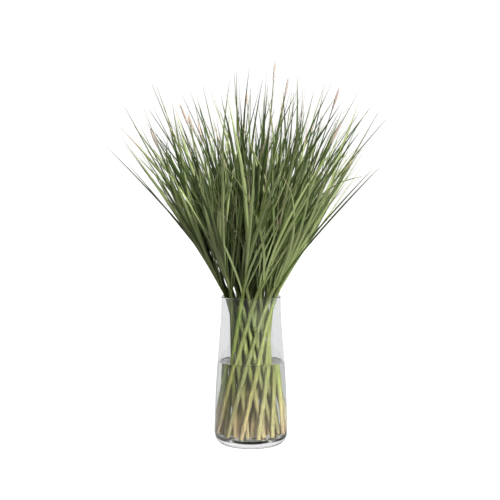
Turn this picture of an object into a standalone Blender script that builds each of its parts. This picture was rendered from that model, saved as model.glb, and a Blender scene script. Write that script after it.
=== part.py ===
"""A bunch of cut lemongrass standing in a tapered clear glass vase that is half full of water.

Metres, +Z up, with the origin at the centre of the vase's flat underside.
Thirty-two stalks stand on the glass floor in four rings that twist opposite ways, cross at a
waist just above the water, lean out over the rim and open into narrow blades. Each stalk with its
blades is one solid.
"""

import math

import bmesh
import bpy
import numpy as np
from mathutils import Vector

# The vase
VASE_HEIGHT = 0.250
VASE_SIDES = 32
GLASS_FLOOR = 0.015
# Outer radius and height, from the flat underside up to the lip
VASE_OUTSIDE = (
    (0.0450, 0.0000),
    (0.0530, 0.0022),
    (0.0592, 0.0092),
    (0.0618, 0.0210),
    (0.0602, 0.0770),
    (0.0566, 0.1390),
    (0.0524, 0.1900),
    (0.0502, 0.2250),
    (0.0500, 0.2485),
)
VASE_LIP = (0.0485, 0.2500)
# Inner radius and height, from the lip down to the glass floor
VASE_INSIDE = (
    (0.0470, 0.2485),
    (0.0472, 0.2250),
    (0.0494, 0.1900),
    (0.0536, 0.1390),
    (0.0572, 0.0770),
    (0.0584, 0.0330),
    (0.0560, 0.0205),
    (0.0500, GLASS_FLOOR),
)

# The water
WATER_LEVEL = 0.139
WATER_SIDES = 24
TOUCHING_GAP = 0.0003
HOLE_CLEARANCE = 0.0005
# How far below its stem's foot a hole starts, as a share of the stem's lowest stretch
HOLE_OVERRUN = 0.05

# The bunch: where its stalks cross, and how it opens above and below
WAIST_HEIGHT = 0.171
WAIST_RADIUS = 0.0262
LEAN = 0.2735
FLARE = 0.30
FLARE_START = 0.050
FLARE_SOFTNESS = 0.022
STEM_TO_GLASS = 0.0007
# How far above the rim a point of a stem still keeps inside the glass
RIM_ALLOWANCE = 0.004
# Stalks in each ring, the ring's share of the waist's radius, and the way it twists
RINGS = ((11, 1.00, 1), (11, 0.72, -1), (7, 0.45, 1), (3, 0.17, -1))
# How far a stalk strays from its even place in the ring, in places and in shares of the radius
BEARING_PLAY = 0.13
SHARE_PLAY = 0.02
BUNCH_SEED = 11

# The crown that the tips reach
CROWN_FOOT = 0.200
CROWN_RISE = 0.415
CROWN_REACH = 0.288
CROWN_POWER = 3.4
# No tip is looked for below this height, and the search goes up in this step
LOWEST_TIP = 0.340
TIP_STEP = 0.002
TALLEST_STALK = 30
TALLEST_SIZE = 1.065
SPEAR_SIZES = (0.86, 1.02)

# One stalk
STEM_SIDES = 6
BUTT_RADIUS = 0.0040
STEM_RADII = (0.0038, 0.0037, 0.0034)
STEM_HEIGHTS = (0.150, 0.200, 0.252)
SPEAR_SHARES = (0.22, 0.45, 0.66, 0.84, 1.0)
SPEAR_RADII = (0.0026, 0.0019, 0.0013, 0.0009, 0.0002)
SEED_SHARES = (0.22, 0.45, 0.66, 0.84, 0.89, 0.95, 1.0)
SEED_RADII = (0.0026, 0.0019, 0.0013, 0.0008, 0.0017, 0.0015, 0.0002)
SEED_EVERY = 3

# One blade, from the root inside its stem to the tip
BLADES_PER_STALK = 7
BLADE_SHARES = (0.0, 0.2, 0.4, 0.6, 0.8, 1.0)
BLADE_WIDTHS = (0.0034, 0.0060, 0.0062, 0.0056, 0.0036, 0.0)
BLADE_KEELS = (0.0011, 0.0012, 0.0011, 0.0010, 0.0008, 0.0)
ROOT_LOWEST = 0.264
ROOT_STEP = 0.0085
GOLDEN_ANGLE = math.pi * (3 - math.sqrt(5))
# How far a blade has left its stem once it has risen by LEAN_RISE, and the size of crown it reaches
BLADE_SPREADS = (0.020, 0.095)
LEAN_RISE = 0.205
LEAN_POWER = 1.4
BLADE_SIZES = (0.76, 1.03)

# On every second outer stalk the lowest blade bends over to a level tip
ARCHED_EVERY = 2
ARCHED_FROM_SHARE = 0.6
ARCH_RISES = (0.10, 0.20)
ARCH_REACHES = (0.075, 0.150)
ARCH_TURNS = (-1.2, 1.2)
ARCH_POWER = 1.3

# How the lines of the bunch are pushed clear of each other
STEM_GAP = 0.0013
STEM_ROUNDS = 160
STEM_FREEDOM = (0.5, 0.7, 0.7, 0.5)
BLADE_GAP = 0.0007
BLADE_ROUNDS = 260
BLADE_FREEDOM = (0.0, 0.6, 1.0, 1.0, 1.0, 1.0)
NEAR_MARGIN = 0.006
ROUNDS_PER_SEARCH = 10
PUSH_SHARE = 0.6
LARGEST_PUSH = 0.003
# A point takes this much of its own push, and this much of each neighbour's on its line
OWN_PUSH = 0.8
NEIGHBOUR_PUSH = 0.2
# Lengths and squares under these count as nothing
NO_LENGTH = 1e-6
NO_SQUARE = 1e-14


def fresh_collection(name):
    collection = bpy.data.collections.new(name)
    bpy.context.scene.collection.children.link(collection)
    return collection


def material(name, colour, roughness, transmission=0.0):
    made = bpy.data.materials.new(name)
    made.use_nodes = True
    shader = made.node_tree.nodes["Principled BSDF"]
    shader.inputs["Base Color"].default_value = (*colour, 1.0)
    shader.inputs["Roughness"].default_value = roughness
    shader.inputs["Metallic"].default_value = 0.0
    shader.inputs["Transmission Weight"].default_value = transmission
    return made


def add_object(name, data, collection, finish):
    made = bpy.data.objects.new(name, data)
    collection.objects.link(made)
    data.materials.append(finish)
    return made


def turned(name, profile, sides, collection, finish):
    """A solid turned about Z from (radius, height) points that run down its outer side."""
    mesh = bpy.data.meshes.new(name)
    points = [(radius, 0.0, height) for radius, height in profile]
    mesh.from_pydata(points, [(i, i + 1) for i in range(len(points) - 1)], [])
    made = add_object(name, mesh, collection, finish)
    screw = made.modifiers.new("turn", "SCREW")
    screw.steps = screw.render_steps = sides
    screw.use_merge_vertices = True
    screw.merge_threshold = 0.00001
    return made


def ring_reach(height):
    """The radius of the outermost stalks' centre lines at a height."""
    rise = height - WAIST_HEIGHT
    straight = math.hypot(WAIST_RADIUS, LEAN * rise)
    opening = math.log1p(math.exp((rise - FLARE_START) / FLARE_SOFTNESS))
    return straight + FLARE * FLARE_SOFTNESS * opening


def flow(stalk, height):
    """Where the centre line of a stalk passes a height."""
    share, bearing, way = stalk
    turn = math.atan(LEAN * (height - WAIST_HEIGHT) / WAIST_RADIUS)
    radius = share * ring_reach(height)
    angle = bearing + way * turn
    return np.array((radius * math.cos(angle), radius * math.sin(angle), height))


def crown_size(point):
    """0 at the foot of the crown and 1 on the dome that the tips reach."""
    up = max(point[2] - CROWN_FOOT, 0.0) / CROWN_RISE
    out = math.hypot(point[0], point[1]) / CROWN_REACH
    return (up**CROWN_POWER + out**CROWN_POWER) ** (1 / CROWN_POWER)


def lowest_past(path, size):
    """The first height at which a path passes a size of crown."""
    height = LOWEST_TIP
    while crown_size(path(height)) < size:
        height += TIP_STEP
    return height


def planned_stalks(draws):
    """(share of the waist's radius, bearing, way of twist) for every stalk, ring by ring."""
    stalks = []
    for count, share, way in RINGS:
        start = draws.uniform(0, math.tau)
        for i in range(count):
            bearing = start + (i + draws.uniform(-BEARING_PLAY, BEARING_PLAY)) * math.tau / count
            stalks.append((share + draws.uniform(-SHARE_PLAY, SHARE_PLAY), bearing, way))
    return stalks


def stem_line(index, stalk, draws):
    """The centre line and radii of a stem and the rolled spear leaf that it ends in."""
    size = draws.uniform(*SPEAR_SIZES)
    if index == TALLEST_STALK:
        size = TALLEST_SIZE
    tip = lowest_past(lambda z: flow(stalk, z), size)
    seeding = index % SEED_EVERY == 0
    shares = SEED_SHARES if seeding else SPEAR_SHARES
    neck = STEM_HEIGHTS[-1]
    heights = (*STEM_HEIGHTS, *(neck + share * (tip - neck) for share in shares))
    foot = flow(stalk, GLASS_FLOOR)
    slope = flow(stalk, STEM_HEIGHTS[0]) - foot
    foot[2] += TOUCHING_GAP + BUTT_RADIUS * math.hypot(slope[0], slope[1]) / slope[2]
    line = [foot, *(flow(stalk, height) for height in heights)]
    radii = (BUTT_RADIUS, *STEM_RADII, *(SEED_RADII if seeding else SPEAR_RADII))
    return np.array(line), np.array(radii)


def level(heading):
    return np.array((math.cos(heading), math.sin(heading), 0.0))


def blade_line(stalk, number, start, draws):
    """The centre line of one blade, which leaves its stem and leans its own way."""
    root = ROOT_LOWEST + ROOT_STEP * number
    lean = level(start + number * GOLDEN_ANGLE) * draws.uniform(*BLADE_SPREADS)
    size = draws.uniform(*BLADE_SIZES)

    def path(height):
        share = max(height - root, 0.0) / LEAN_RISE
        return flow(stalk, height) + lean * share**LEAN_POWER

    tip = lowest_past(path, size)
    return np.array([path(root + share * (tip - root)) for share in BLADE_SHARES])


def arched_line(stalk, draws):
    """The centre line of a low blade, which leaves the bunch outwards and bends over to a level tip."""
    root = flow(stalk, ROOT_LOWEST)
    outward = level(math.atan2(root[1], root[0]) + draws.uniform(*ARCH_TURNS))
    rise, reach = draws.uniform(*ARCH_RISES), draws.uniform(*ARCH_REACHES)
    line = []
    for share in BLADE_SHARES:
        up = rise * (1 - (1 - share) ** 2)
        line.append(root + outward * reach * share**ARCH_POWER + np.array((0.0, 0.0, up)))
    return np.array(line)


def shares_at_closest(a0, a1, b0, b1):
    """How far along each of two sets of segments they come closest."""
    u, v, w = a1 - a0, b1 - b0, a0 - b0
    uu, vv, uv = (u * u).sum(1), (v * v).sum(1), (u * v).sum(1)
    uw, vw = (u * w).sum(1), (v * w).sum(1)
    s = np.clip((uv * vw - vv * uw) / np.maximum(uu * vv - uv * uv, NO_SQUARE), 0, 1)
    t = np.clip((uv * s + vw) / vv, 0, 1)
    return np.clip((uv * t - uw) / uu, 0, 1), t


class Thicket:
    """Every line of the bunch as one set of points and segments that keep clear of each other."""

    def __init__(self):
        self.points, self.half, self.free = [], [], []
        self.first, self.owner, self.before, self.after = [], [], [], []
        self.spans = []

    def add(self, line, half, free, owner):
        start, count = len(self.points), len(line)
        self.points.extend(line)
        self.half.extend(half)
        self.free.extend(free)
        self.first.extend(range(start, start + count - 1))
        self.owner.extend([owner] * (count - 1))
        self.before.extend(max(i - 1, start) for i in range(start, start + count))
        self.after.extend(min(i + 1, start + count - 1) for i in range(start, start + count))
        self.spans.append((start, start + count))

    def near_pairs(self, points, first, owner):
        """Pairs of segments of different stalks that could touch."""
        middle = (points[first] + points[first + 1]) / 2
        reach = np.linalg.norm(points[first + 1] - points[first], axis=1) / 2 + NEAR_MARGIN
        apart = np.linalg.norm(middle[:, None] - middle[None], axis=2)
        close = (apart < reach[:, None] + reach[None]) & (owner[:, None] < owner[None])
        return np.nonzero(close)

    def clashes(self, points, half, first, pairs, gap):
        """Where each near pair comes closest, and how much too near that is."""
        a, b = first[pairs[0]], first[pairs[1]]
        s, t = shares_at_closest(points[a], points[a + 1], points[b], points[b + 1])
        s, t = s[:, None], t[:, None]
        on_a = points[a] * (1 - s) + points[a + 1] * s
        on_b = points[b] * (1 - t) + points[b + 1] * t
        need = half[a] * (1 - s[:, 0]) + half[a + 1] * s[:, 0] + gap
        need += half[b] * (1 - t[:, 0]) + half[b + 1] * t[:, 0]
        between = on_a - on_b
        distance = np.linalg.norm(between, axis=1)
        return a, b, s, t, between, distance, need - distance

    def settle(self, gap, rounds):
        """Pushes lines of different stalks apart, a little in each round, and keeps them fair."""
        points, half = np.array(self.points), np.array(self.half)
        free, first = np.array(self.free)[:, None], np.array(self.first)
        owner = np.array(self.owner)
        before, after = np.array(self.before), np.array(self.after)
        for turn in range(rounds):
            if turn % ROUNDS_PER_SEARCH == 0:
                pairs = self.near_pairs(points, first, owner)
            a, b, s, t, between, distance, short = self.clashes(points, half, first, pairs, gap)
            hit = short > 0
            a, b, s, t = a[hit], b[hit], s[hit], t[hit]
            push = between[hit] / np.maximum(distance[hit], NO_LENGTH)[:, None] * short[hit][:, None]
            moved = np.zeros_like(points)
            for ends, shares, way in ((a, s, PUSH_SHARE), (b, t, -PUSH_SHARE)):
                np.add.at(moved, ends, push * (1 - shares) * way)
                np.add.at(moved, ends + 1, push * shares * way)
            moved = np.clip(moved, -LARGEST_PUSH, LARGEST_PUSH) * free
            moved = moved * OWN_PUSH + (moved[before] + moved[after]) * NEIGHBOUR_PUSH
            points = inside_glass(points + moved * free, half, free)
        return [points[start:end] for start, end in self.spans]


def inside_glass(points, half, free):
    """The same points, with the free ones below the rim moved in to stand clear of the glass."""
    radii, heights = zip(*reversed(VASE_INSIDE))
    flats = math.cos(math.pi / VASE_SIDES)
    room = np.interp(points[:, 2], heights, radii) * flats - half - STEM_TO_GLASS
    reach = np.linalg.norm(points[:, :2], axis=1)
    below = (points[:, 2] < VASE_HEIGHT + RIM_ALLOWANCE) & (free[:, 0] > 0)
    shrink = np.where(below & (reach > room), room / np.maximum(reach, NO_LENGTH), 1.0)
    return points * np.column_stack((shrink, shrink, np.ones_like(shrink)))


def settled_stems(stalks, draws):
    """Stem lines and radii, with the stems clear of each other from the floor to their tips."""
    lines = [stem_line(i, stalk, draws) for i, stalk in enumerate(stalks)]
    thicket = Thicket()
    for i, (line, radii) in enumerate(lines):
        free = [*STEM_FREEDOM, *[1.0] * (len(line) - len(STEM_FREEDOM))]
        thicket.add(line, radii, free, i)
    settled = thicket.settle(STEM_GAP, STEM_ROUNDS)
    return [(line, radii) for line, (_, radii) in zip(settled, lines)]


def planned_blades(index, stalk, draws):
    """The lines of one stalk's blades before they are pushed clear."""
    start = draws.uniform(0, math.tau)
    lines = [blade_line(stalk, number, start, draws) for number in range(BLADES_PER_STALK)]
    if stalk[0] > ARCHED_FROM_SHARE and index % ARCHED_EVERY == 0:
        lines[0] = arched_line(stalk, draws)
    return lines


def settled_blades(stalks, stems, draws):
    """For each stalk its blade lines, clear of the stems and blades of all other stalks."""
    thicket, owners = Thicket(), []
    for i, (line, radii) in enumerate(stems):
        thicket.add(line, radii, [0.0] * len(line), i)
    half = [width / 2 for width in BLADE_WIDTHS]
    for i, stalk in enumerate(stalks):
        for line in planned_blades(i, stalk, draws):
            line += on_line(stems[i][0], line[0][2]) - line[0]
            thicket.add(line, half, BLADE_FREEDOM, i)
            owners.append(i)
    settled = thicket.settle(BLADE_GAP, BLADE_ROUNDS)[len(stems):]
    blades = [[] for _ in stalks]
    for i, line in zip(owners, settled):
        blades[i].append(line)
    return blades


def on_line(line, height):
    """The point of a rising line at a height."""
    return np.array([np.interp(height, line[:, 2], line[:, axis]) for axis in range(3)])


def stem_mesh(name, line, radii):
    """A six-sided tube with closed ends along a stem's line."""
    curve = bpy.data.curves.new(name, "CURVE")
    curve.dimensions = "3D"
    curve.bevel_depth = 1.0
    curve.bevel_resolution = (STEM_SIDES - 4) // 2
    curve.use_fill_caps = True
    spline = curve.splines.new("POLY")
    spline.points.add(len(line) - 1)
    for point, place, radius in zip(spline.points, line, radii):
        point.co = (*place, 1.0)
        point.radius = radius
    holder = bpy.data.objects.new(name, curve)
    bpy.context.scene.collection.objects.link(holder)
    graph = bpy.context.evaluated_depsgraph_get()
    mesh = bpy.data.meshes.new_from_object(holder.evaluated_get(graph))
    bpy.data.objects.remove(holder)
    bm = bmesh.new()
    bm.from_mesh(mesh)
    bmesh.ops.remove_doubles(bm, verts=bm.verts, dist=0.00001)
    bmesh.ops.recalc_face_normals(bm, faces=bm.faces)
    bm.to_mesh(mesh)
    bm.free()
    return mesh


def blade_mesh(name, line):
    """A three-edged blade, flat above with a keel below, lofted along its line to a point."""
    outward = Vector((line[-1][0] - line[0][0], line[-1][1] - line[0][1], 0.0)).normalized()
    side = Vector((0.0, 0.0, 1.0)).cross(outward)
    bm = bmesh.new()
    rings = []
    for i, place in enumerate(line[:-1]):
        along = Vector(line[i + 1] - line[max(i - 1, 0)]).normalized()
        across = (side - along * side.dot(along)).normalized()
        below = across.cross(along)
        half, keel, centre = BLADE_WIDTHS[i] / 2, BLADE_KEELS[i], Vector(place)
        section = (centre + across * half, centre - across * half, centre + below * keel)
        rings.append([bm.verts.new(corner) for corner in section])
    bm.faces.new(rings[0])
    for lower, upper in zip(rings, rings[1:]):
        for i in range(3):
            bm.faces.new((lower[i], lower[i - 1], upper[i - 1], upper[i]))
    tip = bm.verts.new(line[-1])
    for i in range(3):
        bm.faces.new((rings[-1][i], rings[-1][i - 1], tip))
    bmesh.ops.recalc_face_normals(bm, faces=bm.faces)
    mesh = bpy.data.meshes.new(name)
    bm.to_mesh(mesh)
    bm.free()
    return mesh


def fused(stem, collection):
    """The stem joined with the blades of a collection by one Boolean union, which is applied."""
    union = stem.modifiers.new("join blades", "BOOLEAN")
    union.operation = "UNION"
    union.operand_type = "COLLECTION"
    union.collection = collection
    union.solver = "MANIFOLD"
    graph = bpy.context.evaluated_depsgraph_get()
    mesh = bpy.data.meshes.new_from_object(stem.evaluated_get(graph))
    stem.modifiers.clear()
    stem.data = mesh
    keep_largest_body(mesh)
    for blade in list(collection.objects):
        bpy.data.objects.remove(blade)


def keep_largest_body(mesh):
    """Deletes the walls of a pocket that blades have closed in, and any chip beside the stalk."""
    shape = bmesh.new()
    shape.from_mesh(mesh)
    unseen, bodies = set(shape.verts), []
    while unseen:
        edge, body = [unseen.pop()], []
        while edge:
            vertex = edge.pop()
            body.append(vertex)
            fresh = {link.other_vert(vertex) for link in vertex.link_edges} & unseen
            unseen -= fresh
            edge.extend(fresh)
        bodies.append(body)
    largest = max(bodies, key=len)
    loose = [vertex for body in bodies if body is not largest for vertex in body]
    bmesh.ops.delete(shape, geom=loose, context="VERTS")
    shape.to_mesh(mesh)
    shape.free()


def build_vase(collection):
    """The glass, turned as one shell with a thick floor and a rounded lip."""
    glass = material("clear_glass", (0.93, 0.96, 0.95), 0.03, 1.0)
    inner = [(0.0, GLASS_FLOOR), *reversed(VASE_INSIDE), VASE_LIP]
    outer = [*reversed(VASE_OUTSIDE), (0.0, 0.0)]
    turned("vase", inner + outer, VASE_SIDES, collection, glass)


def water_profile():
    """The inside of the glass below the water's level, one gap smaller, as a closed outline."""
    radii = [radius for radius, _ in reversed(VASE_INSIDE)]
    heights = [height for _, height in reversed(VASE_INSIDE)]
    inside = 1 / math.cos(math.pi / WATER_SIDES)
    edge = [(r, h) for r, h in zip(radii, heights) if h < WATER_LEVEL]
    edge.append((float(np.interp(WATER_LEVEL, heights, radii)), WATER_LEVEL))
    side = [(radius - 2 * TOUCHING_GAP * inside, height) for radius, height in edge]
    side[0] = (side[0][0], GLASS_FLOOR + TOUCHING_GAP)
    return [(0.0, GLASS_FLOOR + TOUCHING_GAP), *side, (0.0, WATER_LEVEL)]


def build_water(stems, collection, cutters):
    """The water, with a plain hole for each stem to stand in."""
    clear = material("water", (0.90, 0.95, 0.93), 0.02, 1.0)
    water = turned("water", water_profile()[::-1], WATER_SIDES, collection, clear)
    for i, (line, radii) in enumerate(stems):
        below = line[0] - (line[1] - line[0]) * HOLE_OVERRUN
        hole = stem_mesh(f"stem_hole_{i + 1:02d}", [below, line[1]], radii[:2] + HOLE_CLEARANCE)
        cutter = bpy.data.objects.new(hole.name, hole)
        cutter.hide_render = True
        cutter.display_type = "WIRE"
        cutters.objects.link(cutter)
    cut = water.modifiers.new("stem holes", "BOOLEAN")
    cut.operation = "DIFFERENCE"
    cut.operand_type = "COLLECTION"
    cut.collection = cutters
    cut.solver = "EXACT"


def build_stalks(stems, blades, collection):
    """One solid for each stalk: its stem, its spear leaf and its blades."""
    green = material("lemongrass_green", (0.24, 0.36, 0.12), 0.55)
    loose = fresh_collection("loose_blades")
    for i, (line, radii) in enumerate(stems):
        name = f"stalk_{i + 1:02d}"
        stem = add_object(name, stem_mesh(name, line, radii), collection, green)
        for number, blade in enumerate(blades[i]):
            add_object(f"{name}_blade_{number + 1}", blade_mesh(name, blade), loose, green)
        fused(stem, loose)
    bpy.data.collections.remove(loose)


def main():
    for leftover in list(bpy.data.objects):
        bpy.data.objects.remove(leftover)
    bunch = fresh_collection("lemongrass_in_vase")
    cutters = fresh_collection("cutters")
    draws = np.random.default_rng(BUNCH_SEED)
    stalks = planned_stalks(draws)
    stems = settled_stems(stalks, draws)
    blades = settled_blades(stalks, stems, draws)
    build_stalks(stems, blades, bunch)
    build_vase(bunch)
    build_water(stems, bunch, cutters)


main()
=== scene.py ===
"""The looks of a bunch of cut lemongrass in a tapered clear glass vase, half full of water.

Metres, +Z up, in the frame's own place. Each stalk of the frame is replaced by a finer one that
follows the same line: a stem wrapped in its sheath, folded blades with veins and dry tips, and on
some stalks a seed head. Finer blades and dry wisps fill the bunch between them.
"""

import math

import bpy
import numpy as np
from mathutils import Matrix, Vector


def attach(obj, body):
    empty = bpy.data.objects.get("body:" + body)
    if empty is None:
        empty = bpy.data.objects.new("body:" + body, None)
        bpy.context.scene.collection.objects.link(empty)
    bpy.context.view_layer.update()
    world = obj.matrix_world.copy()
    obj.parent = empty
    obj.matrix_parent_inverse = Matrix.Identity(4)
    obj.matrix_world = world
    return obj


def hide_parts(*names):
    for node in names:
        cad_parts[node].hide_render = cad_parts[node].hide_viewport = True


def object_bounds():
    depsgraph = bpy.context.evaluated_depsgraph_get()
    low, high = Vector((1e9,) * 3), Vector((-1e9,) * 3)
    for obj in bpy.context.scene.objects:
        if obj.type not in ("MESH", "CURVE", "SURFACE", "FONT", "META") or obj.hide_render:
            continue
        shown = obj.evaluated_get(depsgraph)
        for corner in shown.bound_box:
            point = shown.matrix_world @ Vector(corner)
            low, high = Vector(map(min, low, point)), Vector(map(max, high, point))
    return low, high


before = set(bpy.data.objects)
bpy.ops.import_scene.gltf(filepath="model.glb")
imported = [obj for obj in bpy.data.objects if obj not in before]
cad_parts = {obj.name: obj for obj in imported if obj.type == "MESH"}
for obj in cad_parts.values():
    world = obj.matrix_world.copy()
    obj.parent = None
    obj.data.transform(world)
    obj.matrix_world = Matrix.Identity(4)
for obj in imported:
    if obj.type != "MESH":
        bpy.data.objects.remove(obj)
CAD_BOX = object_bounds()

# The vase: outer radius and height, from the flat underside up to the lip
VASE_HEIGHT = 0.250
VASE_SIDES = 32
GLASS_FLOOR = 0.015
VASE_OUTSIDE = (
    (0.0450, 0.0000),
    (0.0530, 0.0022),
    (0.0592, 0.0092),
    (0.0618, 0.0210),
    (0.0602, 0.0770),
    (0.0566, 0.1390),
    (0.0524, 0.1900),
    (0.0502, 0.2250),
    (0.0500, 0.2485),
)
VASE_LIP = (0.0485, 0.2500)
# Inner radius and height, from the lip down to the glass floor
VASE_INSIDE = (
    (0.0470, 0.2485),
    (0.0472, 0.2250),
    (0.0494, 0.1900),
    (0.0536, 0.1390),
    (0.0572, 0.0770),
    (0.0584, 0.0330),
    (0.0560, 0.0205),
    (0.0500, GLASS_FLOOR),
)
# Which point of each outline is the turn between its foot or well and its wall
OUTSIDE_TURN = 3
INSIDE_TURN = 5
# A ring this near each edge keeps the flat or straight face beside it evenly shaded
EDGE_RING = 0.0008
FOOT_STEPS = 12
WALL_STEPS = 16
LIP_STEPS = 8
WELL_STEPS = 8
TURNED_STEPS = 96

# The water, which reaches a hair into the glass so that no air is left between them
WATER_LEVEL = 0.139
WATER_INTO_GLASS = 0.00015
WATER_WALL_STEPS = 32
MENISCUS_RISE = 0.0014
MENISCUS_REACH = 0.0050
MENISCUS_POWER = 2.5
MENISCUS_STEPS = 6

# What glass and water are: tint, index, and the size and depth of their faint waves
GLASS_LOOK = ((0.955, 0.968, 0.975, 1.0), 1.50, 9.0, 0.0004)
WATER_LOOK = ((0.965, 0.980, 0.950, 1.0), 1.333, 30.0, 0.0002)

# The bunch: where its stalks cross, and how it opens above and below
WAIST_HEIGHT = 0.171
WAIST_RADIUS = 0.0262
LEAN = 0.2735
FLARE = 0.30
FLARE_START = 0.050
FLARE_SOFTNESS = 0.022
STEM_TO_GLASS = 0.0007
RIM_ALLOWANCE = 0.004
RINGS = ((11, 1.00, 1), (11, 0.72, -1), (7, 0.45, 1), (3, 0.17, -1))
BEARING_PLAY = 0.13
SHARE_PLAY = 0.02
BUNCH_SEED = 11

# The crown that the tips reach
CROWN_FOOT = 0.200
CROWN_RISE = 0.415
CROWN_REACH = 0.288
CROWN_POWER = 3.4
LOWEST_TIP = 0.340
TIP_STEP = 0.002
TALLEST_STALK = 30
TALLEST_SIZE = 1.065
SPEAR_SIZES = (0.86, 1.02)

# One stalk, whose foot stands a hair above the glass floor
TOUCHING_GAP = 0.0003
BUTT_RADIUS = 0.0040
STEM_RADII = (0.0038, 0.0037, 0.0034)
STEM_HEIGHTS = (0.150, 0.200, 0.252)
SPEAR_SHARES = (0.22, 0.45, 0.66, 0.84, 1.0)
SPEAR_RADII = (0.0026, 0.0019, 0.0013, 0.0009, 0.0002)
SEED_SHARES = (0.22, 0.45, 0.66, 0.84, 0.89, 0.95, 1.0)
SEED_RADII = (0.0026, 0.0019, 0.0013, 0.0008, 0.0017, 0.0015, 0.0002)
SEED_EVERY = 3

# The frame's own blades
BLADES_PER_STALK = 7
BLADE_SHARES = (0.0, 0.2, 0.4, 0.6, 0.8, 1.0)
BLADE_WIDTHS = (0.0034, 0.0060, 0.0062, 0.0056, 0.0036, 0.0)
ROOT_LOWEST = 0.264
ROOT_STEP = 0.0085
GOLDEN_ANGLE = math.pi * (3 - math.sqrt(5))
BLADE_SPREADS = (0.020, 0.095)
LEAN_RISE = 0.205
LEAN_POWER = 1.4
BLADE_SIZES = (0.76, 1.03)
ARCHED_EVERY = 2
ARCHED_FROM_SHARE = 0.6
ARCH_RISES = (0.10, 0.20)
ARCH_REACHES = (0.075, 0.150)
ARCH_TURNS = (-1.2, 1.2)
ARCH_POWER = 1.3

# How the lines of the bunch are pushed clear of each other
STEM_GAP = 0.0013
STEM_ROUNDS = 160
STEM_FREEDOM = (0.5, 0.7, 0.7, 0.5)
BLADE_GAP = 0.0007
BLADE_ROUNDS = 260
BLADE_FREEDOM = (0.0, 0.6, 1.0, 1.0, 1.0, 1.0)
NEAR_MARGIN = 0.006
ROUNDS_PER_SEARCH = 10
PUSH_SHARE = 0.6
LARGEST_PUSH = 0.003
OWN_PUSH = 0.8
NEIGHBOUR_PUSH = 0.2
NO_LENGTH = 1e-6
NO_SQUARE = 1e-14

# The finer blades that fill the bunch
FINE_BLADES = 18
FINE_ROOTS = (0.252, 0.330)
FINE_SPREADS = (0.004, 0.066)
FINE_SIZES = (0.46, 0.91)
FINE_WIDTHS = (0.0014, 0.0036)
FINE_GAP = 0.0001
FINE_ROUNDS = 40
FINE_SEED = 23

# Some of them leave low and spread at once, inwards and sideways, so that the neck is full
FILLING_EVERY = 2
FILLING_ROOTS = (0.250, 0.262)
FILLING_SPREADS = (0.020, 0.066)
FILLING_TURN = 1.7
FILLING_POWER = 0.8

# How far inside the frame's box a line stays, and how much it is drawn in at a time
BOX_MARGIN = 0.001
DRAWN_IN = 0.97

# The blades that cross over the outside of the bunch
CROSSINGS = 48
CROSSING_ROOTS = (0.258, 0.305)
CROSSING_RISES = (0.10, 0.23)
CROSSING_BEND = 1.3
CROSSING_TURNS = (0.20, 0.75)
CROSSING_CLEARANCE = 0.007
CROSSING_CLEAR_BY = 0.3
CROSSING_TIPS = (0.0, 0.016)
CROSSING_WIDTHS = (0.0048, 0.0074)
CROSSING_DRYNESS = (0.0, 0.10)

# The dry wisps at the crown's edge
WISPS = 60
WISP_DRYNESS = 0.9
WISP_WIDTH = 0.0009
WISP_ROOTS = (0.30, 0.42)
WISP_REACHES = (0.05, 0.13)
WISP_RISES = (0.03, 0.16)
WISP_BEND = 1.6
WISP_TURN = 0.8
WISP_KINK = 0.6
WISP_KINK_FROM = 0.6

# How pale the blades of each ring of stalks are, from the outermost in, and how many are paler: a random
# tone within each ring, with painted light on the outer rings and painted shade on the inner rings in the
# heart of the bunch
RING_TONES_PAINTED_SHADE = ((0.03, 0.38), (0.0, 0.24), (0.0, 0.12), (0.0, 0.08))
PALE_SHARES_PAINTED_LIGHT = (0.42, 0.25, 0.08, 0.0)
PALE_TONES_PAINTED_LIGHT = (0.85, 1.0)

# How dry the tips of the green blades are, and how many are drier
GREEN_DRYNESS = (0.0, 0.10)
DRIER_SHARE = 0.10
DRIER_BY = 0.14

# How the patterns are made and laid
BLADE_STRETCHES = 12
BLADE_FOLD = 0.34
BLADE_THICKNESS = 0.10
BLADE_TWIST = 1.3
TAPERED_WIDTHS = (0.54, 0.94, 1.0, 0.84, 0.46, 0.0)
OWN_WIDTHS = (0.0044, 0.0061)
ROOT_WRAP = 1.6
ROOT_WRAP_LENGTH = 0.08
STEM_STRETCHES = 26
STEM_SIDES = 12
SHEATH_STEP = 0.13
BLADE_CREASE = math.radians(35)
ROUND_CREASE = math.radians(50)
HUSK_CREASE = math.radians(60)
# What counts as on the pattern's midrib and at its tip
ON_RIB = 0.01
AT_TIP = 0.999

# The finishes: bump, the height the stem's colours run to, and its cut face above the glass floor
BUMP_STRENGTH = 0.8
STEM_COLOURS_TOP = 0.64
CUT_FROM = 0.004
CUT_TO = 0.001

# The seed heads: husks in a spiral round the thin end of the stalk
RACHIS_RADII = (0.0008, 0.0007, 0.0006, 0.0002)
HEAD_STEPS = 200
HEAD_SHARES = (0.045, 0.085)
HUSKED_SHARE = 0.86
RIPENESS = (0.0, 0.8)
RIPENESS_PLAY = (0.0, 0.2)
HUSK_COUNT = 44
HUSK_LENGTH = 0.0085
HUSK_SHORTENING = 0.35
HUSK_LENGTH_PLAY = (0.9, 1.1)
HUSK_WIDTH = 0.0026
HUSK_LEAN = 0.19
# Where on a half wave the husks' fullness starts, and how far it runs up the head
HUSK_FULLNESS_START = 0.22
HUSK_FULLNESS_RUN = 0.70
# One husk: its sides, its radius at the foot, and the rise and widening of each stretch
HUSK_SIDES = 6
HUSK_FOOT = 0.12
HUSK_STRETCHES = ((0.18, 3.4), (0.22, 1.22), (0.35, 0.72), (0.25, 0.10))

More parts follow.
